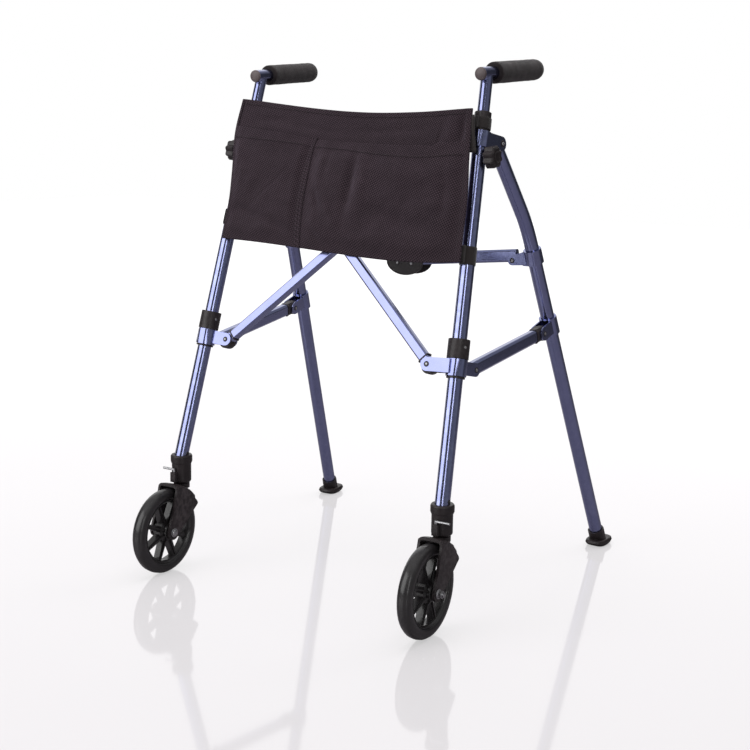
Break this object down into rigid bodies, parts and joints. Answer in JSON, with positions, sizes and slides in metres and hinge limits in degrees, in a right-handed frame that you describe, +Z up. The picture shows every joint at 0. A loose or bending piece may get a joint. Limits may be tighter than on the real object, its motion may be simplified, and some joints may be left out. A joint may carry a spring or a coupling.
{
  "type": "rollator walker",
  "caption": "Folding walking frame with front swivel casters, rear glides, height-set hand grips, crossed front links and a fabric pouch.",
  "frame": {"origin": "centre of the footprint, on the floor", "axes": "+Z up, the casters and pouch face -Y, the hand grips point to +Y, +X is the right side seen from the front"},
  "size_m": [0.6722, 0.7094, 0.9194],
  "materials": {
    "blue_metal": "glossy coloured coat",
    "black_plastic": "fine satin",
    "wheel_plastic": "satin",
    "grip_foam": "closed-cell foam",
    "tyre_rubber": "smooth",
    "steel": "zinc",
    "pouch_fabric": "woven mesh"
  },
  "bodies": {
    "right_side": {"right_front_leg": "blue_metal", "right_top_collar": "black_plastic", "right_upper_clamp": "blue_metal", "right_top_hinge_pin": "steel", "right_upper_strap": "pouch_fabric", "right_lower_strap": "pouch_fabric", "right_stop_collar": "black_plastic", "right_stem_housing": "black_plastic", "pouch_panel": "pouch_fabric", "pouch_pocket_left": "pouch_fabric", "pouch_pocket_right": "pouch_fabric"},
    "left_side": {"left_front_leg": "blue_metal", "left_top_collar": "black_plastic", "left_upper_clamp": "blue_metal", "left_top_hinge_pin": "steel", "left_upper_strap": "pouch_fabric", "left_lower_strap": "pouch_fabric", "left_stop_collar": "black_plastic", "left_stem_housing": "black_plastic"},
    "rear_link": {"cross_link_rear": "blue_metal", "scissor_bolt": "steel"},
    "front_link": {"cross_link_front": "blue_metal"},
    "hub": {"hub_plate_front": "black_plastic", "hub_plate_rear": "black_plastic"},
    "right_slider": {"right_slider_clamp": "blue_metal", "right_slider_bushing": "black_plastic"},
    "right_back_leg": {"right_rear_leg": "blue_metal", "right_brace_bracket": "blue_metal", "right_bar_bracket": "blue_metal", "right_glide_foot": "black_plastic"},
    "right_brace": {"right_side_brace": "blue_metal"},
    "right_bar": {"right_rear_bar": "blue_metal"},
    "right_handle": {"right_handle_post": "blue_metal", "right_hand_grip": "grip_foam", "right_handle_cap": "black_plastic"},
    "right_knob": {"right_height_knob": "black_plastic"},
    "right_caster": {"right_fork": "black_plastic", "right_axle_bolt": "steel"},
    "right_wheel": {"right_wheel_rim": "wheel_plastic", "right_tyre": "tyre_rubber"},
    "right_lock": {"right_lock_pin": "steel"},
    "left_slider": {"left_slider_clamp": "blue_metal", "left_slider_bushing": "black_plastic"},
    "left_back_leg": {"left_rear_leg": "blue_metal", "left_brace_bracket": "blue_metal", "left_bar_bracket": "blue_metal", "left_glide_foot": "black_plastic"},
    "left_brace": {"left_side_brace": "blue_metal"},
    "left_bar": {"left_rear_bar": "blue_metal"},
    "left_handle": {"left_handle_post": "blue_metal", "left_hand_grip": "grip_foam", "left_handle_cap": "black_plastic"},
    "left_knob": {"left_height_knob": "black_plastic"},
    "left_caster": {"left_fork": "black_plastic", "left_axle_bolt": "steel"},
    "left_wheel": {"left_wheel_rim": "wheel_plastic", "left_tyre": "tyre_rubber"},
    "left_lock": {"left_lock_pin": "steel"}
  },
  "joints": [
    {"name": "fold", "type": "hinge", "parent": "right_side", "child": "rear_link", "pos_m": [0.19285, -0.07417, 0.77866], "axis": [0, -0.9644, 0.2645], "range_deg": [0, 34]},
    {"name": "link_cross", "type": "hinge", "parent": "rear_link", "child": "front_link", "pos_m": [0, -0.12149, 0.60617], "axis": [0, 0.9644, -0.2645], "range_deg": [0, 63.44]},
    {"name": "left_fold", "type": "hinge", "parent": "front_link", "child": "left_side", "pos_m": [-0.19285, -0.07417, 0.77866], "axis": [0, -0.9644, 0.2645], "range_deg": [0, 34.01]},
    {"name": "right_slide", "type": "slide", "parent": "right_side", "child": "right_slider", "axis": [0.0536, -0.2642, -0.963], "range_m": [0, 0.15678]},
    {"name": "right_leg_swing", "type": "hinge", "parent": "right_side", "child": "right_back_leg", "pos_m": [0.24098, -0.02783, 0.77226], "axis": [-0.9959, 0.056, -0.0708], "range_deg": [0, 16.02]},
    {"name": "right_brace_swing", "type": "hinge", "parent": "right_back_leg", "child": "right_brace", "pos_m": [0.27231, 0.10719, 0.43843], "axis": [0.9959, -0.056, 0.0708], "range_deg": [0, 49.43]},
    {"name": "right_bar_swing", "type": "hinge", "parent": "right_back_leg", "child": "right_bar", "pos_m": [0.222, 0.109, 0.5667], "axis": [0, 1, 0], "range_deg": [0, 70.83]},
    {"name": "left_slide", "type": "slide", "parent": "left_side", "child": "left_slider", "axis": [-0.0536, -0.2642, -0.963], "range_m": [0, 0.15678]},
    {"name": "left_leg_swing", "type": "hinge", "parent": "left_side", "child": "left_back_leg", "pos_m": [-0.24098, -0.02783, 0.77226], "axis": [-0.9959, -0.056, 0.0708], "range_deg": [0, 16.02]},
    {"name": "left_brace_swing", "type": "hinge", "parent": "left_back_leg", "child": "left_brace", "pos_m": [-0.27231, 0.10719, 0.43843], "axis": [0.9959, 0.056, -0.0708], "range_deg": [0, 49.43]},
    {"name": "left_bar_swing", "type": "hinge", "parent": "left_back_leg", "child": "left_bar", "pos_m": [-0.222, 0.109, 0.5667], "axis": [0, -1, 0], "range_deg": [0, 70.83]},
    {"name": "hub_turn", "type": "hinge", "parent": "right_bar", "child": "hub", "pos_m": [0.015, 0.109, 0.5477], "axis": [0, -1, 0], "range_deg": [0, 74.16]},
    {"name": "right_height", "type": "slide", "parent": "right_side", "child": "right_handle", "axis": [-0.0536, 0.2642, 0.963], "range_m": [-0.035, 0.115]},
    {"name": "right_knob_turn", "type": "hinge", "parent": "right_side", "child": "right_knob", "pos_m": [0.2395, -0.08199, 0.75017], "axis": [0.9959, -0.056, 0.0708], "range_deg": [0, 360]},
    {"name": "right_swivel", "type": "hinge", "parent": "right_side", "child": "right_caster", "pos_m": [0.2701, -0.231, 0.17], "axis": [0, 0, 1], "continuous": true},
    {"name": "right_roll", "type": "hinge", "parent": "right_caster", "child": "right_wheel", "pos_m": [0.2701, -0.2785, 0.0762], "axis": [1, 0, 0], "continuous": true},
    {"name": "right_lock_slide", "type": "slide", "parent": "right_side", "child": "right_lock", "axis": [0, 0, 1], "range_m": [0, 0.006]},
    {"name": "left_height", "type": "slide", "parent": "left_side", "child": "left_handle", "axis": [0.0536, 0.2642, 0.963], "range_m": [-0.035, 0.115]},
    {"name": "left_knob_turn", "type": "hinge", "parent": "left_side", "child": "left_knob", "pos_m": [-0.2395, -0.08199, 0.75017], "axis": [-0.9959, -0.056, 0.0708], "range_deg": [0, 360]},
    {"name": "left_swivel", "type": "hinge", "parent": "left_side", "child": "left_caster", "pos_m": [-0.2701, -0.231, 0.17], "axis": [0, 0, 1], "continuous": true},
    {"name": "left_roll", "type": "hinge", "parent": "left_caster", "child": "left_wheel", "pos_m": [-0.2701, -0.2785, 0.0762], "axis": [1, 0, 0], "continuous": true},
    {"name": "left_lock_slide", "type": "slide", "parent": "left_side", "child": "left_lock", "axis": [0, 0, 1], "range_m": [0, 0.006]}
  ],
  "couplings": [
    {"joint": "link_cross", "follows": "fold", "ratio": 1.8656},
    {"joint": "left_fold", "follows": "fold", "ratio": 1},
    {"joint": "right_slide", "follows": "fold", "m_per_rad": 0.26403},
    {"joint": "right_leg_swing", "follows": "fold", "ratio": 0.47078},
    {"joint": "right_brace_swing", "follows": "fold", "ratio": 1.4535},
    {"joint": "right_bar_swing", "follows": "fold", "ratio": 2.083},
    {"joint": "left_slide", "follows": "fold", "m_per_rad": 0.26403},
    {"joint": "left_leg_swing", "follows": "fold", "ratio": 0.47078},
    {"joint": "left_brace_swing", "follows": "fold", "ratio": 1.4535},
    {"joint": "left_bar_swing", "follows": "fold", "ratio": 2.083},
    {"joint": "hub_turn", "follows": "fold", "ratio": 2.1809}
  ]
}
